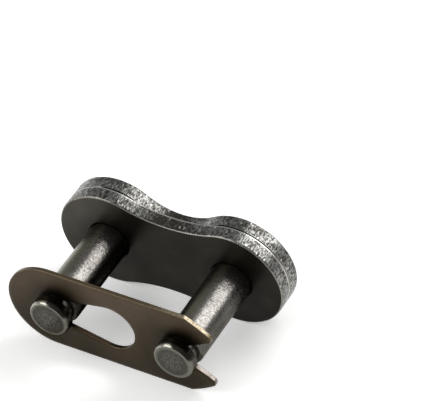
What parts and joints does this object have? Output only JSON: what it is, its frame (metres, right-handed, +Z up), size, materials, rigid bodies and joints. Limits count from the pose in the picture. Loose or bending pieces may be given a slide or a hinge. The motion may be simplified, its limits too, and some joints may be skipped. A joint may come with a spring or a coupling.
{
  "type": "chain connecting link",
  "caption": "Roller-chain connecting link: headed pins fixed in a waisted plate, a loose cover plate that slides on them, and a flat spring clip in their grooves.",
  "frame": {"origin": "centre of the part's outer box seen from above, at the height of the surface it stands on", "axes": "+X from the left pin to the right pin, +Y to the rear fixed plate, +Z up; the pins' heads point to -Y and 3.6 degrees down, as the link leans on its clip"},
  "size_m": [0.023, 0.0146, 0.0104],
  "materials": {
    "plate_steel": "oiled dark heat-treated steel, blanked edges rougher and brighter",
    "cover_steel": "oiled dark heat-treated steel, blanked edges rougher and brighter",
    "pin_steel": "ground case-hardened steel, satin",
    "clip_steel": "tempered spring steel, brown oxide"
  },
  "bodies": {
    "pin_link": {"pin_link_plate": "plate_steel", "left_pin": "pin_steel", "right_pin": "pin_steel", "spring_clip": "clip_steel"},
    "cover": {"cover_plate": "cover_steel"}
  },
  "joints": [
    {"name": "cover_slide", "type": "slide", "parent": "pin_link", "child": "cover", "axis": [0, -0.9981, -0.0617], "range_m": [0, 0.00905]}
  ]
}
